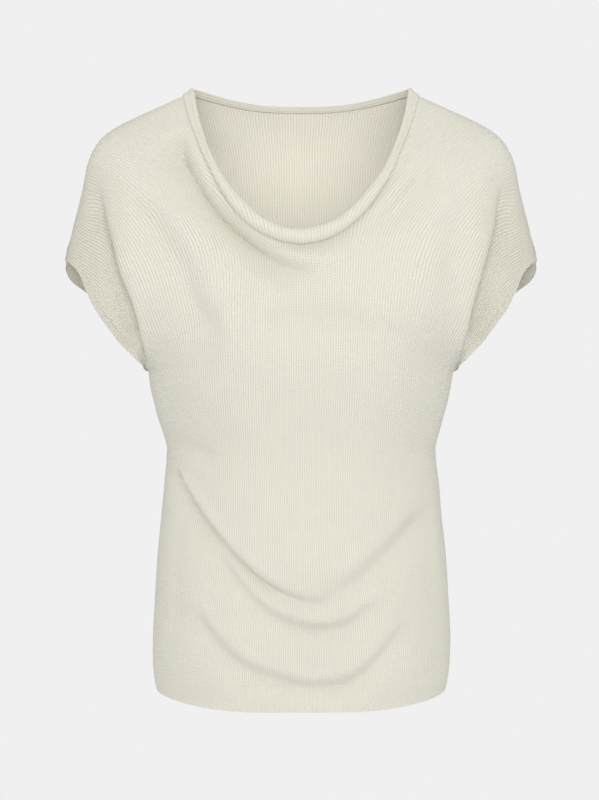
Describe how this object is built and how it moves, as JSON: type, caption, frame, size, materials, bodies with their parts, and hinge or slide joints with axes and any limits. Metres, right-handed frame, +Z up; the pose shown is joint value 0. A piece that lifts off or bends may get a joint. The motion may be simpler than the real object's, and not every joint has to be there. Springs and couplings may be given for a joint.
{
  "type": "cowl neck top",
  "caption": "Fine-knit top with a softly draped, rolled cowl neck, grown-on cap sleeves and a ribbed hem, standing open and filled out as if worn",
  "frame": {"origin": "midway between the two neck points, on the shoulder line, where the wearer holds the top up", "axes": "+Z up along the body, the front faces -Y, +X to the right of someone looking at the front"},
  "size_m": [0.4952, 0.2308, 0.6308],
  "materials": {
    "knit": "matt",
    "neck_band": "matt",
    "hem_rib": "matt"
  },
  "bodies": {
    "root": {"front": "knit", "back": "knit", "back_neck_band": "neck_band", "hem_rib_front": "hem_rib", "hem_rib_back": "hem_rib"}
  },
  "joints": []
}
